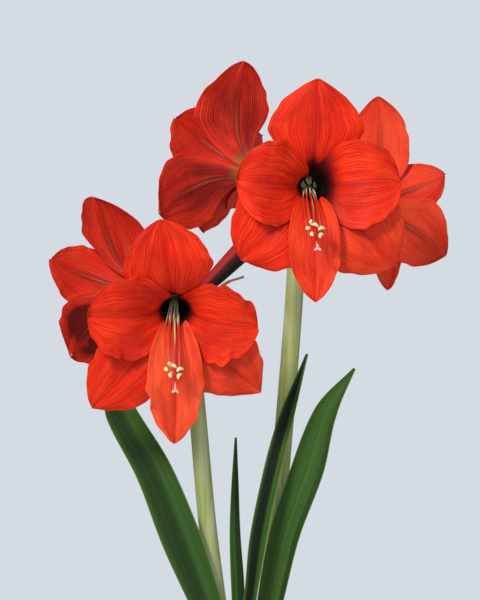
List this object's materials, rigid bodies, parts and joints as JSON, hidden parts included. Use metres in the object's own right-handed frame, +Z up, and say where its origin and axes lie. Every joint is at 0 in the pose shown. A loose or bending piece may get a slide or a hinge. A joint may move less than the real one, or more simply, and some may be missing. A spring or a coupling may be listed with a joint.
{
  "type": "potted amaryllis",
  "caption": "Flowering amaryllis bulb in a plain clay pot, with strap leaves, two stout stems, open red blooms and one bud.",
  "frame": {"origin": "middle of the pot's foot, on the surface that it stands on", "axes": "+Z up, -Y towards the viewer whom the two front blooms face, +X to that viewer's right"},
  "size_m": [0.3731, 0.2585, 0.7178],
  "materials": {
    "clay": "matt unglazed terracotta",
    "potting_mix": "rough dark peat and bark crumbs",
    "bulb_skin": "papery brown tunic over firm flesh",
    "leaf_green": "satin leaf with fine long veins",
    "stem_green": "smooth pale green with a waxy bloom",
    "tepal_red": "velvety vermilion with fine veins and a maroon throat",
    "bud_red": "satin dark crimson",
    "filament_red": "smooth red filaments with cream anthers",
    "style_pink": "smooth pink-red with a pale stigma",
    "dry_bract": "thin withered tan bract"
  },
  "bodies": {
    "root": {"pot": "clay", "potting_mix": "potting_mix", "bulb": "bulb_skin", "leaf_left": "leaf_green", "leaf_right": "leaf_green", "leaf_folded": "leaf_green", "leaf_centre": "leaf_green", "stem_left": "stem_green", "stem_right": "stem_green", "bracts_left": "dry_bract", "bracts_right": "dry_bract", "bud": "bud_red", "tepals_right_front": "tepal_red", "tepals_right_back_left": "tepal_red", "tepals_right_back_right": "tepal_red", "tepals_left_front": "tepal_red", "tepals_left_back": "tepal_red", "stamens_right_front": "filament_red", "stamens_right_back_left": "filament_red", "stamens_right_back_right": "filament_red", "stamens_left_front": "filament_red", "stamens_left_back": "filament_red", "pistil_right_front": "style_pink", "pistil_right_back_left": "style_pink", "pistil_right_back_right": "style_pink", "pistil_left_front": "style_pink", "pistil_left_back": "style_pink"}
  },
  "joints": []
}
